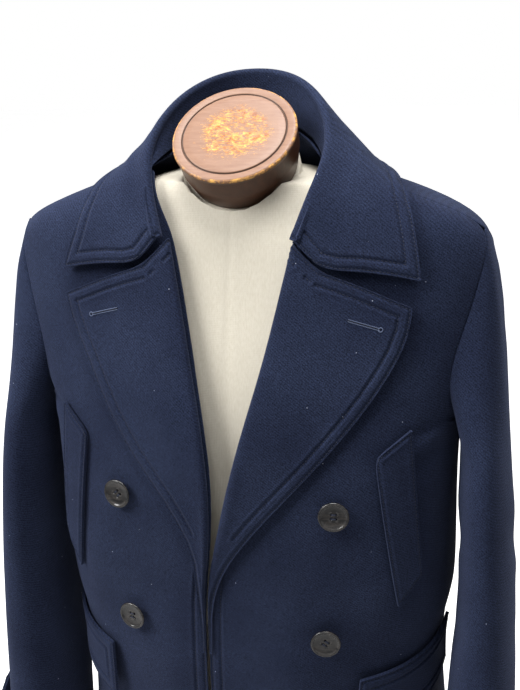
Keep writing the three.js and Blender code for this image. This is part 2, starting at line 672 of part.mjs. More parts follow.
function turned(name, profile, segments, finish) {
  const lathe = new THREE.LatheGeometry(profile.map(([r, z]) => new THREE.Vector2(r, z)), segments);
  return piece(name, lathe.rotateX(Math.PI / 2), finish);
}

// ---- assembly ----
const coat = new THREE.Group();
coat.add(piece('back', backPanel(), melton), piece('collar', collar(), melton));
for (const [hand, side] of [['left', 1], ['right', -1]]) {
  coat.add(
    piece(`front_${hand}`, frontPanel(side), melton),
    piece(`lapel_${hand}`, lapel(side), melton),
    piece(`sleeve_${hand}`, sleeve(side), melton),
    piece(`chest_welt_${hand}`, chestWelt(side), melton),
    piece(`hip_flap_${hand}`, hipFlap(side), melton),
    piece(`cuff_strap_${hand}`, cuffStrap(side), melton),
    cuffButton(`cuff_button_${hand}`, side),
  );
  BUTTONS.forEach(({ x, drop }, i) => {
    const angle = angleAt(side * x, drop);
    coat.add(seatedButton(`button_${hand}_${i + 1}`, BUTTON, onBody(angle, drop), bodyNormal(angle, drop)));
  });
}

const formBottom = NECK - FORM[0].drop;
const stand = new THREE.Group();
stand.add(
  piece('form_torso', formTorso(), linen),
  neckCap(),
  turned('column', [
    [0, BASE.height + SEAM], [COLUMN.flange, BASE.height + SEAM],
    [COLUMN.flange - 4, BASE.height + COLUMN.flangeHeight],
    [COLUMN.radius, BASE.height + COLUMN.flangeHeight + 8],
    [COLUMN.radius, formBottom - COLUMN.flangeHeight - 8],
    [COLUMN.flange - 4, formBottom - COLUMN.flangeHeight],
    [COLUMN.flange, formBottom - SEAM], [0, formBottom - SEAM],
  ], 28, standWood),
  turned('base', [
    [0, 0], [BASE.radius - BASE.edge, 0], [BASE.radius, BASE.edge],
    [BASE.radius, BASE.height - 2 * BASE.edge],
    [BASE.radius - BASE.edge, BASE.height - BASE.edge], [BASE.radius * 0.5, BASE.height], [0, BASE.height],
  ], 48, standWood),
);

const assembly = new THREE.Group();
assembly.add(coat, stand);
export default assembly;
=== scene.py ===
from math import cos, pi, radians, sin

import bmesh
import bpy
import numpy as np
from mathutils import Matrix, Vector, noise
from mathutils.bvhtree import BVHTree
from mathutils.kdtree import KDTree


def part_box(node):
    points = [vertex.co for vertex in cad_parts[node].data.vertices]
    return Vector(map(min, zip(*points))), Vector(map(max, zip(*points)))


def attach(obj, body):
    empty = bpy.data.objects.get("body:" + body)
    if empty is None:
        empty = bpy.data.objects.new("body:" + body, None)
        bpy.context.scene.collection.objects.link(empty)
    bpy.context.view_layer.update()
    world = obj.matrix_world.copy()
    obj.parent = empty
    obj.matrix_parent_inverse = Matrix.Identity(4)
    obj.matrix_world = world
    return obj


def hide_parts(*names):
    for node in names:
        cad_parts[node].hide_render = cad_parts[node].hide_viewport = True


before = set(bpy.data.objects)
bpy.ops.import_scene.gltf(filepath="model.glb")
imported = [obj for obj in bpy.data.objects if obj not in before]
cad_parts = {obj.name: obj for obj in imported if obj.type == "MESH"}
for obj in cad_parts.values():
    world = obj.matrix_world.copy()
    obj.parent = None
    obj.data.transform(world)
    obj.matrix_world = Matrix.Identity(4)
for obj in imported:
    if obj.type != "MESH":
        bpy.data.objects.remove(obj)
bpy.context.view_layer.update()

scene = bpy.context.scene

# ---- camera ----
# The viewer stands in front of the coat, a step towards its left sleeve and a head above its
# collar, and looks down at the chest through a short portrait lens, held a little off level.
CAMERA_PLACE = (0.255, -0.817, 1.174)
CAMERA_LENS = 46.96
azimuth, elevation, roll = radians(16.6), radians(23), radians(-3.2)
camera_back = Vector((sin(azimuth) * cos(elevation), -cos(azimuth) * cos(elevation), sin(elevation)))
level_right = Vector((cos(azimuth), sin(azimuth), 0))
camera_right = cos(roll) * level_right + sin(roll) * camera_back.cross(level_right)
camera_up = camera_back.cross(camera_right)
camera = bpy.data.objects.new("camera", bpy.data.cameras.new("camera"))
camera.matrix_world = Matrix((camera_right, camera_up, camera_back)).transposed().to_4x4()
camera.location = CAMERA_PLACE
camera.data.lens = CAMERA_LENS
scene.collection.objects.link(camera)
scene.camera = camera


# ---- stand: base and column ----
# A round base and a column of hardwood, turned on a lathe, stained almost black and varnished.
# The column is pegged into the base and into the underside of the form.
MM = 0.001


def linear(code):
    """An sRGB hex colour as linear red, green, blue and alpha."""
    channels = [int(code[i:i + 2], 16) / 255 for i in (1, 3, 5)]
    return [c / 12.92 if c <= 0.04045 else ((c + 0.055) / 1.055) ** 2.4 for c in channels] + [1]


def new_material(name):
    """An empty node material."""
    material = bpy.data.materials.new(name)
    material.use_nodes = True
    material.node_tree.nodes.clear()
    return material


def add_node(material, kind, inputs=None, **settings):
    """Adds a node with its settings. Each input is a value, or another node's output to link."""
    node = material.node_tree.nodes.new(kind)
    for name, value in settings.items():
        setattr(node, name, value)
    for socket, value in (inputs or {}).items():
        if isinstance(value, bpy.types.NodeSocket):
            material.node_tree.links.new(value, node.inputs[socket])
        else:
            node.inputs[socket].default_value = value
    return node


def new_piece(name, bm, material):
    """A smooth-shaded object of a bmesh's faces, at the origin."""
    mesh = bpy.data.meshes.new(name)
    bm.to_mesh(mesh)
    bm.free()
    mesh.materials.append(material)
    mesh.shade_smooth()
    piece = bpy.data.objects.new(name, mesh)
    scene.collection.objects.link(piece)
    return piece


def turned(profile, steps):
    """A lathe-turned bmesh from a profile of (radius, height) that starts and ends on the axis."""
    bm = bmesh.new()
    points = [bm.verts.new((radius, 0, height)) for radius, height in profile]
    edges = [bm.edges.new(pair) for pair in zip(points, points[1:])]
    bmesh.ops.spin(bm, geom=points + edges, cent=(0, 0, 0), axis=(0, 0, 1), angle=2 * pi,
                   steps=steps, use_merge=True)
    bmesh.ops.remove_doubles(bm, verts=bm.verts, dist=1e-6)
    bmesh.ops.recalc_face_normals(bm, faces=bm.faces)
    return bm


def rounded(corners, radius, steps=4):
    """A profile with its inner corners rounded off to a radius, where they have room for it."""
    points = [Vector(corner) for corner in corners]
    profile = [points[0]]
    for before, corner, after in zip(points, points[1:], points[2:]):
        reach = min(radius, (before - corner).length / 2, (after - corner).length / 2)
        start = corner + (before - corner).normalized() * reach
        end = corner + (after - corner).normalized() * reach
        for i in range(steps + 1):
            t = i / steps
            profile.append(start * (1 - t) ** 2 + corner * 2 * t * (1 - t) + end * t ** 2)
    profile.append(points[-1])
    return [tuple(point) for point in profile]


GRAIN_ALONG = 18  # noise cells in a metre along the grain
GRAIN_ACROSS = 260


def varnished_hardwood(name, dark, light, grain_axis):
    """Turned and stained hardwood under varnish: fine long grain with a clear, slightly soft gloss."""
    material = new_material(name)
    place = add_node(material, "ShaderNodeTexCoord").outputs["Object"]
    stretch = [GRAIN_ALONG if axis == grain_axis else GRAIN_ACROSS for axis in range(3)]
    along = add_node(material, "ShaderNodeMapping", {"Vector": place, "Scale": stretch})
    grain = add_node(material, "ShaderNodeTexNoise", {
        "Vector": along.outputs[0], "Scale": 1, "Detail": 5, "Roughness": 0.6, "Distortion": 0.4})
    shade = add_node(material, "ShaderNodeMapRange", {
        "Value": grain.outputs["Fac"], "From Min": 0.35, "From Max": 0.65})
    colour = add_node(material, "ShaderNodeMix", {
        0: shade.outputs[0], 6: linear(dark), 7: linear(light)}, data_type="RGBA")
    pores = add_node(material, "ShaderNodeBump", {
        "Height": grain.outputs["Fac"], "Strength": 0.25, "Distance": 0.3 * MM})
    wood = add_node(material, "ShaderNodeBsdfPrincipled", {
        "Base Color": colour.outputs[2], "Normal": pores.outputs[0], "Roughness": 0.38,
        "IOR": 1.5, "Coat Weight": 0.5, "Coat Roughness": 0.16})
    add_node(material, "ShaderNodeOutputMaterial", {"Surface": wood.outputs[0]})
    return material


def carry(piece, node):
    """The piece stands for a CAD node, whose part it hides, and moves with the one body."""
    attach(piece, "root")
    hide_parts(node)


stand_wood = varnished_hardwood("dark_varnished_beech", "#21110a", "#3f2416", 2)
base_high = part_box("base")[1]
base_radius = base_high.x
base_height = base_high.z
base_corners = [
    (0, 0), (base_radius - 4 * MM, 0), (base_radius, 4 * MM),
    (base_radius, base_height * 0.55), (base_radius - 3 * MM, base_height * 0.62),
    (base_radius - 5 * MM, base_height * 0.8), (base_radius * 0.5, base_height),
    (0, base_height),
]
TURNED_EDGE = 3 * MM
base = new_piece("stand_base", turned(rounded(base_corners, TURNED_EDGE), 128), stand_wood)
carry(base, "base")

column_low, column_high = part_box("column")
FLANGE_RADIUS = 42 * MM
FLANGE_HEIGHT = 9 * MM
COLUMN_RADIUS = 17 * MM
BEAD_RADIUS = 20 * MM
flange_top = column_low.z + FLANGE_HEIGHT
flange_foot = column_high.z - FLANGE_HEIGHT
column_corners = [
    (0, column_low.z), (FLANGE_RADIUS, column_low.z), (FLANGE_RADIUS - 1 * MM, flange_top - 3 * MM),
    (BEAD_RADIUS + 5 * MM, flange_top), (BEAD_RADIUS, flange_top + 4 * MM),
    (BEAD_RADIUS, flange_top + 8 * MM), (COLUMN_RADIUS - 1 * MM, flange_top + 14 * MM),
    (COLUMN_RADIUS, (flange_top + flange_foot) / 2), (COLUMN_RADIUS - 1 * MM, flange_foot - 14 * MM),
    (BEAD_RADIUS, flange_foot - 8 * MM), (BEAD_RADIUS, flange_foot - 4 * MM),
    (BEAD_RADIUS + 5 * MM, flange_foot), (FLANGE_RADIUS - 1 * MM, flange_foot + 3 * MM),
    (FLANGE_RADIUS, column_high.z), (0, column_high.z),
]
column_mesh = turned(rounded(column_corners, TURNED_EDGE), 64)
column = new_piece("stand_column", column_mesh, stand_wood)
carry(column, "column")


# ---- dress form ----
# A limbless torso of moulded papier-mache under a tight cover of natural linen, sewn down the
# middle of the front. It fills the coat and shows between the fronts.
RIM_ANGLE = radians(65)  # a sharper bend than this is a wall's rim
FADE = 0.04              # the share of a fold's length left out at each end of its fade
FADE_POWER = 0.6


def merged_copy(node):
    """A CAD node's triangles as a bmesh with its doubles merged."""
    bm = bmesh.new()
    bm.from_mesh(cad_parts[node].data)
    bmesh.ops.remove_doubles(bm, verts=bm.verts, dist=0.02 * MM)
    return bm


def refined(name, node, material, levels, rim):
    """A fine, smooth copy of a CAD node. rim, from 0 to 1, keeps its sharp edges crisp."""
    bm = merged_copy(node)
    bmesh.ops.join_triangles(bm, faces=bm.faces, cmp_seam=False, cmp_sharp=False, cmp_uvs=False,
                             cmp_vcols=False, cmp_materials=False,
                             angle_face_threshold=radians(40), angle_shape_threshold=radians(70))
    crease = bm.edges.layers.float.new("crease_edge")
    for edge in bm.edges:
        if edge.calc_face_angle(0) > RIM_ANGLE:
            edge[crease] = rim
    piece = new_piece(name, bm, material)
    subdivision = piece.modifiers.new("fine", "SUBSURF")
    subdivision.levels = subdivision.render_levels = levels
    fine = piece.evaluated_get(bpy.context.evaluated_depsgraph_get())
    mesh = bpy.data.meshes.new_from_object(fine)
    piece.modifiers.clear()
    piece.data = mesh
    mesh.shade_smooth()
    return piece


LINEN_THREAD = 1.6 * MM  # drawn coarser than the real 0.8 mm, so that it shows


def natural_linen():
    """Plain-woven flax, unbleached: thick and thin threads both ways, matt with a faint dry sheen."""
    material = new_material("natural_linen")
    place = add_node(material, "ShaderNodeTexCoord").outputs["Object"]
    thread = 2 * pi / (20 * LINEN_THREAD)
    warp = add_node(material, "ShaderNodeTexWave", {
        "Vector": place, "Scale": thread, "Distortion": 0.8, "Detail": 2, "Detail Scale": 0.4},
        bands_direction="X")
    weft = add_node(material, "ShaderNodeTexWave", {
        "Vector": place, "Scale": thread, "Distortion": 0.8, "Detail": 2, "Detail Scale": 0.4},
        bands_direction="Z")
    weave = add_node(material, "ShaderNodeMath", {
        0: warp.outputs["Fac"], 1: weft.outputs["Fac"]}, operation="ADD")
    slubs = add_node(material, "ShaderNodeMapping", {"Vector": place, "Scale": (700, 700, 45)})
    slub = add_node(material, "ShaderNodeTexNoise", {
        "Vector": slubs.outputs[0], "Scale": 1, "Detail": 3, "Roughness": 0.6})
    colour = add_node(material, "ShaderNodeMix", {
        0: slub.outputs["Fac"], 6: linear("#cfc6b2"), 7: linear("#e6e0d2")}, data_type="RGBA")
    relief = add_node(material, "ShaderNodeBump", {
        "Height": weave.outputs[0], "Strength": 0.35, "Distance": 0.25 * MM})
    cloth = add_node(material, "ShaderNodeBsdfPrincipled", {
        "Base Color": colour.outputs[2], "Normal": relief.outputs[0], "Roughness": 0.9,
        "Specular IOR Level": 0.25, "Sheen Weight": 0.15, "Sheen Roughness": 0.5})
    add_node(material, "ShaderNodeOutputMaterial", {"Surface": cloth.outputs[0]})
    return material


def outward_from(axis, points):
    """The level direction from an upright axis (x, y) out to each point."""
    away = points - np.array([axis[0], axis[1], 0])
    away[:, 2] = 0
    return away / np.maximum(np.linalg.norm(away, axis=1, keepdims=True), 1e-9)


def read_points(piece):
    """The piece's vertices as an array."""
    points = np.empty(len(piece.data.vertices) * 3)
    piece.data.vertices.foreach_get("co", points)
    return points.reshape(-1, 3)


def write_points(piece, points):
    """Puts an array of vertices back into the piece."""
    piece.data.vertices.foreach_set("co", points.ravel())
    piece.data.update()


def fold(piece, lines, plane=(0, 2), axis=(0, 0)):
    """Presses soft troughs and ridges into a piece. Each line is (start, end, width, height) in
    millimetres, its ends given by the two coordinates in plane, with a trough's height below zero."""
    points = read_points(piece)
    moved = np.zeros(len(points))
    flat = points[:, list(plane)] / MM
    for start, end, width, height in lines:
        run = np.subtract(end, start)
        share = np.clip((flat - start) @ run / (run @ run), 0, 1)
        distance = np.linalg.norm(flat - (start + share[:, None] * run), axis=1)
        fade = np.sin(pi * np.clip(share, FADE, 1 - FADE)) ** FADE_POWER
        moved += height * fade * np.exp(-(distance / width) ** 2)
    write_points(piece, points + outward_from(axis, points) * (moved * MM)[:, None])


linen = natural_linen()
FORM_RIM = 0.6
torso = refined("form_linen_torso", "form_torso", linen, 2, FORM_RIM)
seam_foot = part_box("form_torso")[0].z / MM + 6
SEAM_TOP = 960
fold(torso, [((0, seam_foot), (0, SEAM_TOP), 1.8, -1.2)])
carry(torso, "form_torso")


# ---- neck cap ----
# A block of hardwood turned to the neck's width, with one fine groove round its top. Years of
# handling have worn its varnish to bare orange wood in short strokes in the middle and on the rim.
CAP_CENTRE = (0, -8 * MM, 1030 * MM)
CAP_LEAN = radians(35.5)
CAP_RADIUS = 60 * MM
CAP_HEIGHT = 46 * MM
GROOVE_RADIUS = 50 * MM
GROOVE_HALF = 1 * MM
BARE_TO = 26 * MM       # the middle is worn most, out to here
SOUND_FROM = 46 * MM    # and hardly at all from here on
RIM_BAND = 2.4 * MM     # the width and the depth of the rubbed rim


def worn_varnished_wood():
    """Stained hardwood under old varnish, with the bare orange wood showing through strokes of wear.
    Its top is painted pale and hazy where it catches the light, a painted sheen, and a thin band round
    its groove is painted dark, a painted shade."""
    material = new_material("worn_varnished_maple")
    place = add_node(material, "ShaderNodeTexCoord").outputs["Object"]
    on_cap = add_node(material, "ShaderNodeMapping", {
        "Vector": place, "Location": CAP_CENTRE, "Rotation": (CAP_LEAN, 0, 0)},
        vector_type="TEXTURE")
    across = add_node(material, "ShaderNodeSeparateXYZ", {0: on_cap.outputs[0]})
    flat = add_node(material, "ShaderNodeCombineXYZ", {
        "X": across.outputs["X"], "Y": across.outputs["Y"]})
    radius = add_node(material, "ShaderNodeVectorMath", {0: flat.outputs[0]}, operation="LENGTH")
    turned_grain = add_node(material, "ShaderNodeMapping", {
        "Vector": on_cap.outputs[0], "Scale": (40, 300, 90)})
    grain = add_node(material, "ShaderNodeTexNoise", {
        "Vector": turned_grain.outputs[0], "Scale": 1, "Detail": 6, "Roughness": 0.65})
    top = add_node(material, "ShaderNodeMapRange", {
        "Value": across.outputs["Z"], "From Min": -4 * MM, "From Max": -1 * MM})
    # The top gets its own lighter pair of colours: a painted sheen where the light catches it, over
    # the dark stained wood of the side.
    side_wood = add_node(material, "ShaderNodeMix", {
        0: grain.outputs["Fac"], 6: linear("#26130b"), 7: linear("#5e3a26")}, data_type="RGBA")
    top_wood_painted_sheen = add_node(material, "ShaderNodeMix", {
        0: grain.outputs["Fac"], 6: linear("#74503f"), 7: linear("#a8846c")}, data_type="RGBA")
    wood = add_node(material, "ShaderNodeMix", {
        0: top.outputs[0], 6: side_wood.outputs[2], 7: top_wood_painted_sheen.outputs[2]}, data_type="RGBA")
    # Strokes of wear run from side to side, and thin out towards the groove.
    strokes = add_node(material, "ShaderNodeMapping", {
        "Vector": on_cap.outputs[0], "Scale": (170, 760, 170), "Rotation": (0, 0, radians(-6))})
    stroke = add_node(material, "ShaderNodeTexNoise", {
        "Vector": strokes.outputs[0], "Scale": 1, "Detail": 4, "Roughness": 0.62,
        "Distortion": 1.6})
    patch = add_node(material, "ShaderNodeTexNoise", {
        "Vector": on_cap.outputs[0], "Scale": 45, "Detail": 2})
    reach = add_node(material, "ShaderNodeMapRange", {
        "Value": radius.outputs["Value"], "From Min": BARE_TO, "From Max": SOUND_FROM,
        "To Min": 0.045, "To Max": -0.2})
    centred = add_node(material, "ShaderNodeMath", {
        0: stroke.outputs["Fac"], 1: reach.outputs[0]}, operation="ADD")
    patchy = add_node(material, "ShaderNodeMath", {
        0: patch.outputs["Fac"], 1: 0.35, 2: centred.outputs[0]}, operation="MULTIPLY_ADD")
    worn = add_node(material, "ShaderNodeMapRange", {
        "Value": patchy.outputs[0], "From Min": 0.7, "From Max": 0.77})
    worn_top = add_node(material, "ShaderNodeMath", {
        0: worn.outputs[0], 1: top.outputs[0]}, operation="MULTIPLY")
    # The rim is rubbed through along its edge, more on some stretches than on others.
    rim_near = add_node(material, "ShaderNodeMapRange", {
        "Value": radius.outputs["Value"], "From Min": CAP_RADIUS - RIM_BAND,
        "From Max": CAP_RADIUS - RIM_BAND / 2})
    rim_under = add_node(material, "ShaderNodeMapRange", {
        "Value": across.outputs["Z"], "From Min": -1.5 * RIM_BAND, "From Max": -RIM_BAND})
    rim_band = add_node(material, "ShaderNodeMath", {
        0: rim_near.outputs[0], 1: rim_under.outputs[0]}, operation="MULTIPLY")
    rim_rub = add_node(material, "ShaderNodeTexNoise", {
        "Vector": on_cap.outputs[0], "Scale": 150, "Detail": 3, "Roughness": 0.7})
    rim_broken = add_node(material, "ShaderNodeMapRange", {
        "Value": rim_rub.outputs["Fac"], "From Min": 0.45, "From Max": 0.62})
    rim_worn = add_node(material, "ShaderNodeMath", {
        0: rim_band.outputs[0], 1: rim_broken.outputs[0]}, operation="MULTIPLY")
    bare = add_node(material, "ShaderNodeMath", {
        0: worn_top.outputs[0], 1: rim_worn.outputs[0]}, operation="MAXIMUM")
    fresh = add_node(material, "ShaderNodeMapRange", {
        "Value": rim_rub.outputs["Fac"], "From Min": 0.36, "From Max": 0.66})
    bare_wood = add_node(material, "ShaderNodeMix", {
        0: fresh.outputs[0], 6: linear("#a4501c"), 7: linear("#ffc56a")}, data_type="RGBA")
    # A thin band round the groove, on the top only, is painted dark brown: painted shade in the
    # recess.
    off_groove = add_node(material, "ShaderNodeMath", {
        0: radius.outputs["Value"], 1: GROOVE_RADIUS}, operation="SUBTRACT")
    near_groove = add_node(material, "ShaderNodeMath", {0: off_groove.outputs[0]},
                           operation="ABSOLUTE")
    groove_painted_shade = add_node(material, "ShaderNodeMapRange", {
        "Value": near_groove.outputs[0], "From Min": 0.5 * MM, "From Max": 1.4 * MM,
        "To Min": 0.85, "To Max": 0})
    in_groove = add_node(material, "ShaderNodeMath", {
        0: groove_painted_shade.outputs[0], 1: top.outputs[0]}, operation="MULTIPLY")
    groove_shaded_wood = add_node(material, "ShaderNodeMix", {
        0: in_groove.outputs[0], 6: wood.outputs[2], 7: linear("#281812")}, data_type="RGBA")
    colour = add_node(material, "ShaderNodeMix", {
        0: bare.outputs[0], 6: groove_shaded_wood.outputs[2], 7: bare_wood.outputs[2]}, data_type="RGBA")
    relief = add_node(material, "ShaderNodeBump", {
        "Height": bare.outputs[0], "Strength": 0.5, "Distance": 0.3 * MM}, invert=True)
    gloss = add_node(material, "ShaderNodeMapRange", {
        "Value": bare.outputs[0], "To Min": 0.42, "To Max": 0.6})
    varnish = add_node(material, "ShaderNodeBsdfPrincipled", {
        "Base Color": colour.outputs[2], "Normal": relief.outputs[0],
        "Roughness": gloss.outputs[0], "IOR": 1.5, "Specular IOR Level": 0.3,
        "Coat Weight": 0.1, "Coat Roughness": 0.25})
    add_node(material, "ShaderNodeOutputMaterial", {"Surface": varnish.outputs[0]})
    return material


cap_corners = [
    (0, -CAP_HEIGHT), (CAP_RADIUS - 7 * MM, -CAP_HEIGHT), (CAP_RADIUS - 2 * MM, -CAP_HEIGHT * 0.55),
    (CAP_RADIUS - 1 * MM, -6 * MM), (CAP_RADIUS, -3.2 * MM), (CAP_RADIUS - 0.5 * MM, -1 * MM),
    (CAP_RADIUS - 2.4 * MM, 0), (GROOVE_RADIUS + GROOVE_HALF, -0.6 * MM),
    (GROOVE_RADIUS, -2.2 * MM), (GROOVE_RADIUS - GROOVE_HALF, -0.4 * MM),
    (GROOVE_RADIUS - 7 * MM, 0), (0, 0),
]
cap_mesh = turned(rounded(cap_corners, 0.8 * MM, 3), 128)
bmesh.ops.transform(cap_mesh, verts=cap_mesh.verts,
                    matrix=Matrix.Translation(CAP_CENTRE) @ Matrix.Rotation(CAP_LEAN, 4, "X"))
cap = new_piece("neck_cap_turned", cap_mesh, worn_varnished_wood())
carry(cap, "neck_cap")


# ---- coat body: back and two fronts ----
# Heavy navy melton: a wool twill, milled until its short nap hides the weave. The back and the
# fronts are joined by pressed-open seams at the shoulders and down the sides.
TWILL_RIB = 2.2 * MM  # drawn coarser than the real 0.7 mm, so that it shows
TWILL_SLOPE = radians(52)


def melton_wool():
    """Milled and raised wool: matt, with a soft bluish bloom at grazing angles, a mottle of fibres,
    the ghost of its steep twill, and a few specks of pale lint."""
    material = new_material("navy_melton_wool")
    place = add_node(material, "ShaderNodeTexCoord").outputs["Object"]
    cloud = add_node(material, "ShaderNodeTexNoise", {"Vector": place, "Scale": 14, "Detail": 3})
    fibre = add_node(material, "ShaderNodeTexNoise", {
        "Vector": place, "Scale": 900, "Detail": 4, "Roughness": 0.7})
    diagonal = add_node(material, "ShaderNodeMapping", {
        "Vector": place, "Rotation": (0, TWILL_SLOPE, 0)})
    rib = 2 * pi / (20 * TWILL_RIB)
    twill = add_node(material, "ShaderNodeTexWave", {
        "Vector": diagonal.outputs[0], "Scale": rib, "Distortion": 2.2, "Detail": 3,
        "Detail Scale": 1.4}, bands_direction="X")
    tuft = add_node(material, "ShaderNodeMath", {
        0: twill.outputs["Fac"], 1: 0.09, 2: fibre.outputs["Fac"]}, operation="MULTIPLY_ADD")
    mottle = add_node(material, "ShaderNodeMapRange", {
        "Value": tuft.outputs[0], "From Min": 0.4, "From Max": 0.7})
    wool = add_node(material, "ShaderNodeMix", {
        0: mottle.outputs[0], 6: linear("#121726"), 7: linear("#323c58")}, data_type="RGBA")
    bloom = add_node(material, "ShaderNodeMapRange", {
        "Value": cloud.outputs["Fac"], "From Min": 0.35, "From Max": 0.65})
    shaded = add_node(material, "ShaderNodeMix", {
        0: bloom.outputs[0], 6: linear("#d4d6de"), 7: linear("#ffffff")}, data_type="RGBA")
    cloth = add_node(material, "ShaderNodeMix", {
        0: 1, 6: wool.outputs[2], 7: shaded.outputs[2]}, data_type="RGBA", blend_type="MULTIPLY")
    specks = add_node(material, "ShaderNodeTexVoronoi", {"Vector": place, "Scale": 52})
    lint = add_node(material, "ShaderNodeMapRange", {
        "Value": specks.outputs["Distance"], "From Min": 0.018, "From Max": 0.03,
        "To Min": 1, "To Max": 0})
    colour = add_node(material, "ShaderNodeMix", {
        0: lint.outputs[0], 6: cloth.outputs[2], 7: linear("#aab1c6")}, data_type="RGBA")
    nap = add_node(material, "ShaderNodeBump", {
        "Height": tuft.outputs[0], "Strength": 0.7, "Distance": 0.6 * MM})
    melton = add_node(material, "ShaderNodeBsdfPrincipled", {
        "Base Color": colour.outputs[2], "Normal": nap.outputs[0], "Roughness": 0.95,
        "Specular IOR Level": 0.15, "Sheen Weight": 0.18, "Sheen Roughness": 0.45,
        "Sheen Tint": linear("#8b96bd")})
    add_node(material, "ShaderNodeOutputMaterial", {"Surface": melton.outputs[0]})
    return material


def drape(piece, height, size):
    """Lets a piece swell and sink a little at random, as cloth does, by height over spans of size."""
    points = read_points(piece)
    swell = np.array([noise.noise(Vector(p) / (size * MM)) for p in points])
    write_points(piece, points + outward_from((0, 0), points) * (swell * height * MM)[:, None])


def cut(piece, node):
    """Fastens a piece of melton in its node's place."""
    carry(piece, node)


RIM = 0.75
melton = melton_wool()

# Long soft folds hang from the shoulder blades, and shallower ones fan out to the hem. Each fold is
# (start, end, width, height), with its ends as (across, up).
BACK_FOLDS = [
    ((-95, 860), (-70, 560), 34, -3.5), ((88, 850), (62, 600), 30, -3),
    ((-150, 820), (-165, 480), 22, 2.5), ((158, 830), (170, 520), 24, 3),
    ((-20, 700), (-34, 330), 40, -3), ((46, 640), (60, 280), 36, -2.5),
    ((-120, 520), (-150, 270), 26, 3), ((126, 500), (148, 300), 22, 2.5),
    ((-60, 800), (40, 772), 16, -1.5), ((-70, 560), (50, 578), 18, -2),
]
coat_back = refined("coat_back", "back", melton, 2, RIM)
fold(coat_back, BACK_FOLDS)
drape(coat_back, 1.6, 90)

# In front, the cloth drags from the underarms towards the upper buttons, hollows beside the
# lapels and hangs in long shallow waves below the pockets.
FRONT_FOLDS = {
    "left": [
        ((206, 772), (176, 760), 6, -2.2), ((204, 762), (168, 738), 7, 1.8),
        ((205, 742), (172, 722), 9, -1.8), ((190, 870), (172, 800), 16, -2.6),
        ((150, 640), (160, 560), 20, 2.4), ((120, 640), (134, 420), 26, -2.4),
        ((60, 560), (74, 330), 24, 2.6), ((172, 500), (182, 330), 20, -2.2),
        ((30, 600), (40, 300), 20, -1.6), ((150, 930), (110, 905), 14, -1.6),
    ],
    "right": [
        ((-205, 770), (-170, 752), 7, -2.4), ((-204, 754), (-162, 730), 8, 2),
        ((-186, 880), (-168, 800), 16, -3), ((-140, 660), (-152, 560), 18, 2),
        ((-112, 620), (-128, 400), 28, -2.8), ((-52, 600), (-66, 320), 22, 2.4),
        ((-168, 520), (-180, 340), 18, -2.6), ((-152, 925), (-118, 905), 12, -1.4),
    ],
}
fronts = {}
for hand, lines in FRONT_FOLDS.items():
    front = refined(f"coat_front_{hand}", f"front_{hand}", melton, 3, RIM)
    fold(front, lines)
    drape(front, 1.2, 80)
    fronts[hand] = front


# ---- topstitching ----
# Two rows of navy buttonhole twist, 2 mm and 12 mm inside each turned edge, pull the cloth down
# into a shallow channel with a little swell on either side.
STITCH_PITCH = 3.6 * MM
STITCH_LENGTH = 2.7 * MM
STITCH_RADIUS = 0.42 * MM
CHANNEL_DEPTH = 1.1 * MM
CHANNEL_WIDTH = 1.35 * MM
CHANNEL_SWELL = 0.45
SWELL_PLACE = 2.6             # the swell's distance from the row, in channel widths
NEAR_ROW = 4.5 * MM           # the cloth this near a row is cut finer, in three passes
FINE_EDGES = (2.4 * MM, 1.6 * MM, 1.1 * MM)
EDGE_ROW = 2.2 * MM
INNER_ROW = 12 * MM
BORDER_STEP = 1.2 * MM
CROWDED = 0.93                # a point nearer the edge than this share of its inset is left out
ROW_BREAK = 8 * MM


def sewing_thread():
    """Mercerised twist: twisted plies with a slight lustre, a tone darker than the wool."""
    material = new_material("navy_buttonhole_twist")
    place = add_node(material, "ShaderNodeTexCoord").outputs["Object"]
    plies = add_node(material, "ShaderNodeTexNoise", {"Vector": place, "Scale": 1500, "Detail": 2})
    colour = add_node(material, "ShaderNodeMix", {
        0: plies.outputs["Fac"], 6: linear("#0a0e19"), 7: linear("#252d45")}, data_type="RGBA")
    thread = add_node(material, "ShaderNodeBsdfPrincipled", {
        "Base Color": colour.outputs[2], "Roughness": 0.6, "Specular IOR Level": 0.4})
    add_node(material, "ShaderNodeOutputMaterial", {"Surface": thread.outputs[0]})
    return material


def outline(node):
    """The border of a CAD wall's outer face: a list of (point, way into the face, its normal)."""
    bm = merged_copy(node)
    bm.faces.ensure_lookup_table()
    region = {}
    areas = []
    for seed in bm.faces:
        if seed.index in region:
            continue
        areas.append(0)
        region[seed.index] = len(areas) - 1
        queue = [seed]
        while queue:
            face = queue.pop()
            areas[-1] += face.calc_area()
            for edge in face.edges:
                if edge.calc_face_angle(0) > RIM_ANGLE:
                    continue
                for beside in edge.link_faces:
                    if beside.index not in region:
                        region[beside.index] = len(areas) - 1
                        queue.append(beside)
    outer = int(np.argmax(areas))
    ahead = {}
    for edge in bm.edges:
        sides = [face for face in edge.link_faces if region[face.index] == outer]
        if len(sides) == 1:
            loop = next(loop for loop in sides[0].loops if loop.edge == edge)
            ahead[loop.vert] = (loop.link_loop_next.vert, sides[0].normal.copy())
    border = []
    start = here = next(iter(ahead))
    while True:
        after, normal = ahead[here]
        step = after.co - here.co
        into = normal.cross(step).normalized()
        count = max(1, round(step.length / BORDER_STEP))
        border += [(here.co + step * (i / count), into, normal) for i in range(count)]
        here = after
        if here == start or here not in ahead:
            break
    bm.free()
    return border


def surface_of(piece):
    """A search tree over the piece's faces."""
    mesh = piece.data
    return BVHTree.FromPolygons([v.co for v in mesh.vertices], [p.vertices for p in mesh.polygons])


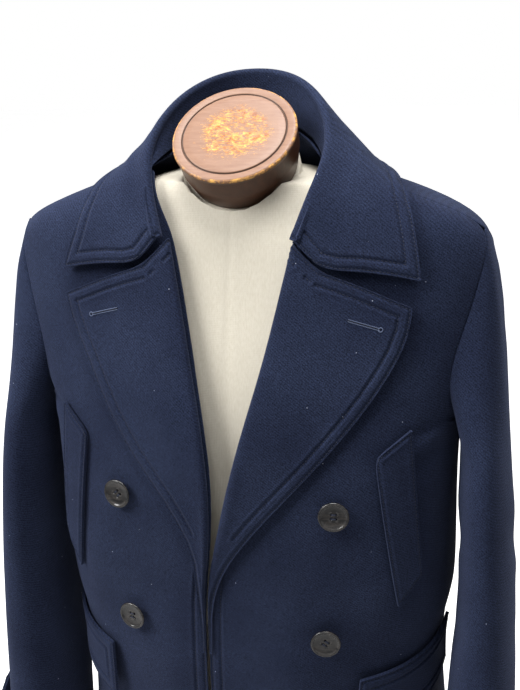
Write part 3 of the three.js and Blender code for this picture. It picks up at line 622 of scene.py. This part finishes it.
def edge_row(border, surface, inset, keep):
    """The runs of points that lie inset from the kept stretches of a border, on the surface."""
    everywhere = KDTree(len(border))
    for i, (point, _, _) in enumerate(border):
        everywhere.insert(point, i)
    everywhere.balance()
    runs = [[]]
    for point, into, normal in border:
        if not keep(point, normal):
            runs.append([])
            continue
        place, face_normal, _, _ = surface.find_nearest(point + into * inset)
        if everywhere.find(place)[2] < inset * CROWDED:
            continue
        if runs[-1] and (place - runs[-1][-1][0]).length > ROW_BREAK:
            runs.append([])
        runs[-1].append((place, face_normal))
    return [run for run in runs if len(run) > 4]


def spaced(run, pitch):
    """Points evenly spaced along a run, each with its direction and the surface's normal."""
    found = []
    travelled = pitch / 2
    for (start, normal), (end, _) in zip(run, run[1:]):
        step = end - start
        while travelled <= step.length and step.length > 0:
            found.append((start + step.normalized() * travelled, step.normalized(), normal))
            travelled += pitch
        travelled -= step.length
    return found


def press_channels(piece, runs):
    """Sinks the cloth along rows of stitches, on the face that they show on."""
    row = [point for run in runs for point in run]
    tree = KDTree(len(row))
    for i, (point, _) in enumerate(row):
        tree.insert(point, i)
    tree.balance()
    bm = bmesh.new()
    bm.from_mesh(piece.data)
    for longest in FINE_EDGES:
        near = []
        for edge in bm.edges:
            if edge.calc_length() > longest:
                _, i, distance = tree.find((edge.verts[0].co + edge.verts[1].co) / 2)
                if distance < NEAR_ROW and edge.verts[0].normal.dot(row[i][1]) > 0:
                    near.append(edge)
        bmesh.ops.subdivide_edges(bm, edges=near, cuts=1, use_grid_fill=True, smooth=0)
    bmesh.ops.triangulate(bm, faces=[face for face in bm.faces if len(face.verts) > 4])
    bm.to_mesh(piece.data)
    bm.free()
    piece.data.shade_smooth()
    normals = [vertex.normal.copy() for vertex in piece.data.vertices]
    for vertex, normal in zip(piece.data.vertices, normals):
        _, i, distance = tree.find(vertex.co)
        if distance < 4 * CHANNEL_WIDTH and normal.dot(row[i][1]) > 0.3:
            sink = np.exp(-(distance / CHANNEL_WIDTH) ** 2)
            beyond = distance / CHANNEL_WIDTH - SWELL_PLACE
            swell = CHANNEL_SWELL * np.exp(-beyond ** 2)
            vertex.co += row[i][1] * CHANNEL_DEPTH * (swell - sink)
    piece.data.update()


def add_stitch(bm, place, along, normal, length, radius):
    """One stitch: a small elongated bead lying on the surface."""
    side = normal.cross(along).normalized()
    frame_of_stitch = Matrix((along * length / 2, side * radius, normal * radius)).transposed()
    matrix = Matrix.Translation(place) @ frame_of_stitch.to_4x4()
    bmesh.ops.create_uvsphere(bm, u_segments=6, v_segments=4, radius=1, matrix=matrix)


def topstitch(piece, node, keep, insets=(EDGE_ROW, INNER_ROW)):
    """Sews rows of topstitching inside the kept edges of a piece, and sinks the cloth under them."""
    border = outline(node)
    surface = surface_of(piece)
    runs = [run for inset in insets for run in edge_row(border, surface, inset, keep)]
    press_channels(piece, runs)
    bm = bmesh.new()
    for run in runs:
        for place, along, normal in spaced(run, STITCH_PITCH):
            sunk = place - normal * (CHANNEL_DEPTH - STITCH_RADIUS * 0.6)
            add_stitch(bm, sunk, along, normal, STITCH_LENGTH, STITCH_RADIUS)
    rows = new_piece(f"{piece.name}_topstitching", bm, twist)
    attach(rows, "root")


BREAK_HEIGHT = 655 * MM
FREE_EDGE_REACH = 40 * MM


def free_edge(point, normal):
    """Whether a border point is on a front's free edge, below the roll of the lapel."""
    return point.z < BREAK_HEIGHT and abs(point.x) < FREE_EDGE_REACH and point.y < 0


twist = sewing_thread()
for hand, front in fronts.items():
    topstitch(front, f"front_{hand}", free_edge)
    cut(front, f"front_{hand}")
cut(coat_back, "back")


# ---- lapels ----
# The top of each front turned back over its facing, rolled rather than pressed, with a worked
# keyhole buttonhole near its corner.
PURL_PITCH = 0.9       # the buttonhole's own sizes are in millimetres
PURL_OFFSET = 0.95
EYE_RADIUS = 1.9
EYE_PURLS = 16
SLIT_PITCH = 1.5


def worked_buttonhole(name, surface, start, eye):
    """A buttonhole from (x, height) to its eye: a slit between two rows of close purl stitches, the
    slit drawn as a row of nearly black beads of painted shadow.
    """
    def sew(bm, spot, way, lift, length):
        """A stitch of a length in millimetres, laid on the cloth at a spot in the way given."""
        x, z = spot
        place, normal, _, _ = surface.ray_cast(Vector((x * MM, -1, z * MM)), Vector((0, 1, 0)))
        direction = Vector((way[0], 0, way[1]))
        direction = (direction - normal * direction.dot(normal)).normalized()
        add_stitch(bm, place + normal * lift * MM, direction, normal, length * MM, 0.45 * MM)

    start, eye = Vector(start), Vector(eye)
    length = (eye - start).length
    along = (eye - start).normalized()
    across = Vector((-along.y, along.x))
    purls = bmesh.new()
    slit = bmesh.new()
    for side in (-1, 1):
        for i in range(int(length / PURL_PITCH)):
            spot = start + along * i * PURL_PITCH + across * side * PURL_OFFSET
            sew(purls, spot, across, 0.2, 1.1)
    for i in range(EYE_PURLS):
        turn = 2 * pi * i / EYE_PURLS
        spoke = Vector((cos(turn), sin(turn)))
        sew(purls, eye + spoke * EYE_RADIUS, spoke, 0.2, 1.2)
    # The slit is a row of nearly black beads on the cloth: painted shadow in the cut.
    for i in range(int(length / SLIT_PITCH) + 1):
        sew(slit, start + along * min(i * SLIT_PITCH, length), along, 0.1, 2.6)
    for part, bm, finish in (("purl", purls, pale_twist), ("slit", slit, slit_shadow)):
        piece = new_piece(f"{name}_{part}", bm, finish)
        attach(piece, "root")


def silk_twist():
    """Buttonhole silk: a slate-blue twist with a slight lustre, paler than the wool."""
    material = new_material("slate_blue_silk_twist")
    place = add_node(material, "ShaderNodeTexCoord").outputs["Object"]
    plies = add_node(material, "ShaderNodeTexNoise", {"Vector": place, "Scale": 1300})
    colour = add_node(material, "ShaderNodeMix", {
        0: plies.outputs["Fac"], 6: linear("#38435f"), 7: linear("#6b7896")}, data_type="RGBA")
    thread = add_node(material, "ShaderNodeBsdfPrincipled", {
        "Base Color": colour.outputs[2], "Roughness": 0.5})
    add_node(material, "ShaderNodeOutputMaterial", {"Surface": thread.outputs[0]})
    return material


def paint_slit_shadow():
    """Painted shadow for the cut edge inside a slit: raw wool in shadow, painted nearly black, and
    quite matt.
    """
    material = new_material("painted_slit_shadow")
    place = add_node(material, "ShaderNodeTexCoord").outputs["Object"]
    fibre = add_node(material, "ShaderNodeTexNoise", {"Vector": place, "Scale": 900})
    colour = add_node(material, "ShaderNodeMix", {
        0: fibre.outputs["Fac"], 6: linear("#05070c"), 7: linear("#12172a")}, data_type="RGBA")
    wool = add_node(material, "ShaderNodeBsdfPrincipled", {
        "Base Color": colour.outputs[2], "Roughness": 1})
    add_node(material, "ShaderNodeOutputMaterial", {"Surface": wool.outputs[0]})
    return material


def faces_front(point, normal):
    """Whether a border point is on a lapel's face that shows."""
    return normal.y < -0.1


pale_twist = silk_twist()
slit_shadow = paint_slit_shadow()
LAPEL_FOLDS = {
    "left": [((70, 900), (40, 740), 22, 1.6), ((130, 860), (60, 700), 20, -1.4)],
    "right": [((-62, 905), (-30, 740), 20, 1.6), ((-120, 850), (-60, 705), 22, -1.6)],
}
# Each buttonhole is (start, eye), as (across, up).
BUTTONHOLES = {"left": ((117.4, 873.4), (146, 865)), "right": ((-108.5, 874), (-137.6, 866))}
for hand, lines in LAPEL_FOLDS.items():
    lapel = refined(f"coat_lapel_{hand}", f"lapel_{hand}", melton, 3, RIM)
    fold(lapel, lines)
    topstitch(lapel, f"lapel_{hand}", faces_front)
    worked_buttonhole(f"lapel_buttonhole_{hand}", surface_of(lapel), *BUTTONHOLES[hand])
    cut(lapel, f"lapel_{hand}")


# ---- collar ----
# Top collar and under collar sewn as one, with a stand inside the neck that folds over into a
# wide leaf. It is held to the neckline, and its leaf lies free over the shoulders.
collar = refined("coat_collar", "collar", melton, 3, RIM)
NECK_AXIS = Vector((0, 10 * MM, 0))
COLLAR_FOLDS = [
    ((-120, 970), (-92, 1030), 18, 1.4), ((116, 975), (95, 1035), 20, 1.6),
    ((-60, 1040), (-40, 1000), 18, -1.2), ((64, 1040), (40, 1000), 16, -1.4),
]
fold(collar, COLLAR_FOLDS)


def on_leaf(point, normal):
    """Whether a border point is on the collar's outer leaf, not on its stand."""
    away = point - NECK_AXIS
    return away.x * normal.x + away.y * normal.y > 0


topstitch(collar, "collar", on_leaf)
cut(collar, "collar")


# ---- pockets ----
# Slanted welts over the hand-warmer pockets, and hip pockets under flaps. Each is faced melton,
# turned and pressed, and topstitched close to its edge.
PRESSED_RIM = 0.85


def all_round(point, normal):
    """Keeps every stretch of a border."""
    return True


for hand in ("left", "right"):
    welt = refined(f"chest_pocket_welt_{hand}", f"chest_welt_{hand}", melton, 3, PRESSED_RIM)
    topstitch(welt, f"chest_welt_{hand}", all_round, (EDGE_ROW,))
    cut(welt, f"chest_welt_{hand}")
    flap = refined(f"hip_pocket_flap_{hand}", f"hip_flap_{hand}", melton, 3, PRESSED_RIM)
    topstitch(flap, f"hip_flap_{hand}", all_round)
    cut(flap, f"hip_flap_{hand}")


# ---- sleeves and cuff straps ----
# Two-piece sleeves set into the armholes with the head eased in, so that it stands a little
# proud. They hang empty, with drag lines at the elbow, and a strap is sewn round each cuff.
SLEEVE_FOLDS = [
    ((-60, 905), (20, 880), 14, -1.8), ((-70, 700), (10, 640), 16, 2),
    ((-84, 660), (0, 610), 14, -3), ((-60, 618), (20, 580), 13, 2.2),
    ((-110, 560), (-40, 520), 14, -2.4), ((30, 800), (24, 560), 18, 2),
    ((-88, 780), (-104, 520), 18, -2), ((-20, 820), (-50, 640), 26, 2.4),
    ((-50, 520), (-80, 380), 24, -2.2), ((-30, 460), (-50, 360), 18, 1.8),
]
SLEEVE_FOLD_SHARE = 0.5  # the sleeves' folds are pressed to half of the heights above
SLEEVE_AXIS = (0.245, -0.04)
RIGHT_SHIFT = 14         # and the right sleeve's are shifted, so that the two differ
for hand, side in (("left", 1), ("right", -1)):
    sleeve = refined(f"coat_sleeve_{hand}", f"sleeve_{hand}", melton, 2, RIM)
    shift = 0 if hand == "left" else RIGHT_SHIFT
    lines = [((y0 + shift, z0 - shift), (y1 - shift, z1 + shift), width, height * SLEEVE_FOLD_SHARE)
             for (y0, z0), (y1, z1), width, height in SLEEVE_FOLDS]
    fold(sleeve, lines, plane=(1, 2), axis=(side * SLEEVE_AXIS[0], SLEEVE_AXIS[1]))
    drape(sleeve, 0.8, 90)
    cut(sleeve, f"sleeve_{hand}")
    strap = refined(f"cuff_strap_melton_{hand}", f"cuff_strap_{hand}", melton, 3, PRESSED_RIM)
    topstitch(strap, f"cuff_strap_{hand}", all_round, (EDGE_ROW,))
    cut(strap, f"cuff_strap_{hand}")


# ---- buttons ----
# Four-hole buttons turned from dark buffalo horn, with a raised rim round a shallow dish, sewn on
# a wrapped thread shank. The cuffs have smaller ones.
def buffalo_horn():
    """Polished horn: nearly black, with cloudy brown-grey streaks and a waxy gloss."""
    material = new_material("polished_buffalo_horn")
    place = add_node(material, "ShaderNodeTexCoord").outputs["Object"]
    layers = add_node(material, "ShaderNodeMapping", {
        "Vector": place, "Scale": (70, 70, 240), "Rotation": (0.4, 0.7, 0.2)})
    streak = add_node(material, "ShaderNodeTexNoise", {
        "Vector": layers.outputs[0], "Scale": 1, "Detail": 4, "Distortion": 1.2})
    depth = add_node(material, "ShaderNodeMapRange", {
        "Value": streak.outputs["Fac"], "From Min": 0.42, "From Max": 0.7})
    colour = add_node(material, "ShaderNodeMix", {
        0: depth.outputs[0], 6: linear("#0d0c0e"), 7: linear("#35302d")}, data_type="RGBA")
    scuff = add_node(material, "ShaderNodeBump", {
        "Height": streak.outputs["Fac"], "Strength": 0.12, "Distance": 0.2 * MM})
    horn = add_node(material, "ShaderNodeBsdfPrincipled", {
        "Base Color": colour.outputs[2], "Normal": scuff.outputs[0], "Roughness": 0.24,
        "IOR": 1.54, "Specular IOR Level": 0.4, "Coat Weight": 0.15, "Coat Roughness": 0.1})
    add_node(material, "ShaderNodeOutputMaterial", {"Surface": horn.outputs[0]})
    return material


HOLES_OUT = 0.2      # the holes' distance from the middle, as a share of the button's radius
HOLE_RADIUS = 0.075  # and their own radius, likewise
SHANK_RADIUS = 0.17
STRAND_SPACING = 0.5 * MM
STRAND_RADIUS = 0.34 * MM
SHANK_THREAD = 0.45  # half the height of one turn of the shank's thread, in millimetres


def button_blank(radius, thick, stand_off):
    """The horn disc of a button, lying on the origin, with its four holes drilled."""
    front = stand_off + thick
    corners = [
        (0, stand_off), (radius * 0.74, stand_off), (radius * 0.97, stand_off + thick * 0.45),
        (radius, stand_off + thick * 0.7), (radius * 0.95, front), (radius * 0.84, front),
        (radius * 0.76, front - thick * 0.32), (radius * 0.5, front - thick * 0.42),
        (0, front - thick * 0.42),
    ]
    profile = [(r * MM, z * MM) for r, z in rounded(corners, radius * 0.06, 3)]
    disc = new_piece("horn_blank", turned(profile, 64), horn)
    drills = bmesh.new()
    for i in range(4):
        turn = pi / 4 + i * pi / 2
        spot = Vector((cos(turn), sin(turn), 0)) * radius * HOLES_OUT * MM
        spot.z = (stand_off + thick / 2) * MM
        bore = radius * HOLE_RADIUS * MM
        bmesh.ops.create_cone(drills, cap_ends=True, segments=16, radius1=bore, radius2=bore,
                              depth=3 * thick * MM, matrix=Matrix.Translation(spot))
    drill = new_piece("drill", drills, horn)
    holes = disc.modifiers.new("holes", "BOOLEAN")
    holes.object = drill
    holes.solver = "EXACT"
    drilled = disc.evaluated_get(bpy.context.evaluated_depsgraph_get())
    mesh = bpy.data.meshes.new_from_object(drilled)
    bpy.data.objects.remove(disc)
    bpy.data.objects.remove(drill)
    return mesh


def button_thread(radius, thick, stand_off):
    """The thread of a button: two bars of three strands over the face, and the wrapped shank."""
    bm = bmesh.new()
    face = (stand_off + thick * 0.58) * MM
    reach = radius * 0.145 * MM
    for side in (-1, 1):
        for strand in (-1, 0, 1):
            place = Vector((0, side * reach + strand * STRAND_SPACING, face + 0.25 * MM))
            add_stitch(bm, place, Vector((1, 0, 0)), Vector((0, 0, 1)), 2.6 * reach, STRAND_RADIUS)
    turns = max(3, round(stand_off / 0.6))
    for i in range(turns):
        level = (SHANK_THREAD + i * (stand_off - 0.5) / turns) * MM
        girth = radius * SHANK_RADIUS * MM
        matrix = Matrix.Translation((0, 0, level)) @ Matrix.Diagonal(
            (girth, girth, SHANK_THREAD * MM, 1))
        bmesh.ops.create_uvsphere(bm, u_segments=16, v_segments=6, radius=1, matrix=matrix)
    mesh = bpy.data.meshes.new("thread")
    bm.to_mesh(mesh)
    bm.free()
    return mesh


def seat_of(node):
    """The place and turn of a CAD button: its foot on the cloth, facing away from the body."""
    points = np.array([vertex.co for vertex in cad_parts[node].data.vertices])
    middle = points.mean(0)
    facing = Vector(np.linalg.svd(points - middle, full_matrices=False)[2][2])
    if facing.dot(Vector((middle[0], middle[1], 0))) < 0:
        facing.negate()
    foot = Vector(middle) + facing * min((points - middle) @ np.array(facing))
    tip = Vector((0, 0, 1)).rotation_difference(facing)
    return Matrix.Translation(foot) @ tip.to_matrix().to_4x4()


horn = buffalo_horn()
# The radius, the thickness and the height of the shank, in millimetres.
BUTTON_SIZES = {"button": (15, 4.2, 2.7), "cuff_button": (9, 3.4, 0.9)}
BUTTON_TURNS = {
    "button_left_1": 8, "button_left_2": -24, "button_left_3": 40, "button_right_1": 30,
    "button_right_2": -12, "button_right_3": 15, "cuff_button_left": 20, "cuff_button_right": -35,
}
blanks = {kind: (button_blank(*size), button_thread(*size)) for kind, size in BUTTON_SIZES.items()}
for node, turn in BUTTON_TURNS.items():
    kind = "cuff_button" if node.startswith("cuff") else "button"
    seat = seat_of(node) @ Matrix.Rotation(radians(turn), 4, "Z")
    for part, blank, finish in zip(("horn", "thread"), blanks[kind], (horn, twist)):
        mesh = blank.copy()
        mesh.transform(seat)
        mesh.materials.clear()
        mesh.materials.append(finish)
        mesh.shade_smooth()
        piece = bpy.data.objects.new(f"{node}_{part}", mesh)
        scene.collection.objects.link(piece)
        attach(piece, "root")
        if part == "horn":
            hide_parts(node)


# ---- studio ----
# A plain pale level floor, a big soft window on the viewer's left, a soft lamp overhead, and a
# little even light from all round.
FLOOR_SIZE = 12
FLOOR_GLOW = 0.84  # seen by the camera alone, so it lights nothing
AMBIENT = 0.15


def studio_paper():
    """Matt white paper, which the camera sees lit up to white apart from the shadows on it."""
    material = new_material("white_studio_paper")
    place = add_node(material, "ShaderNodeTexCoord").outputs["Object"]
    tooth = add_node(material, "ShaderNodeTexNoise", {"Vector": place, "Scale": 60})
    colour = add_node(material, "ShaderNodeMix", {
        0: tooth.outputs["Fac"], 6: linear("#e9e9e8"), 7: linear("#eeeeee")}, data_type="RGBA")
    matt = add_node(material, "ShaderNodeBsdfPrincipled", {
        "Base Color": colour.outputs[2], "Roughness": 0.9, "Specular IOR Level": 0.1})
    seen = add_node(material, "ShaderNodeLightPath").outputs["Is Camera Ray"]
    lit = add_node(material, "ShaderNodeMath", {0: seen, 1: FLOOR_GLOW}, operation="MULTIPLY")
    glow = add_node(material, "ShaderNodeEmission", {"Strength": lit.outputs[0]})
    both = add_node(material, "ShaderNodeAddShader", {0: matt.outputs[0], 1: glow.outputs[0]})
    add_node(material, "ShaderNodeOutputMaterial", {"Surface": both.outputs[0]})
    return material


floor_mesh = bmesh.new()
bmesh.ops.create_grid(floor_mesh, x_segments=2, y_segments=2, size=FLOOR_SIZE / 2)
bmesh.ops.translate(floor_mesh, verts=floor_mesh.verts, vec=(0, 1, -0.5 * MM))
floor = new_piece("floor", floor_mesh, studio_paper())

world = bpy.data.worlds.new("studio")
world.use_nodes = True
scene.world = world
world.node_tree.nodes.clear()
world_rays = add_node(world, "ShaderNodeLightPath")
world_seen = add_node(world, "ShaderNodeMath", {
    0: world_rays.outputs["Is Camera Ray"], 1: world_rays.outputs["Is Glossy Ray"]},
    operation="MAXIMUM")
world_strength = add_node(world, "ShaderNodeMapRange", {
    "Value": world_seen.outputs[0], "To Min": AMBIENT, "To Max": 1})
sky = add_node(world, "ShaderNodeBackground", {
    "Color": (1, 1, 1, 1), "Strength": world_strength.outputs[0]})
add_node(world, "ShaderNodeOutputWorld", {"Surface": sky.outputs[0]})

# Each lamp is (name, place in metres, size in metres, power in watts).
AIM = Vector((0, 0, 0.8))
LAMPS = [
    ("window", (-1.5, -0.9, 2.3), 1.1, 56),
    ("overhead", (0.1, 0, 2.5), 1, 42),
]
for name, place, size, power in LAMPS:
    lamp = bpy.data.objects.new(name, bpy.data.lights.new(name, "AREA"))
    lamp.data.size = size
    lamp.data.energy = power
    lamp.location = place
    toward = AIM - lamp.location
    lamp.rotation_euler = toward.to_track_quat("-Z", "Y").to_euler()
    scene.collection.objects.link(lamp)

scene.view_settings.view_transform = "Standard"
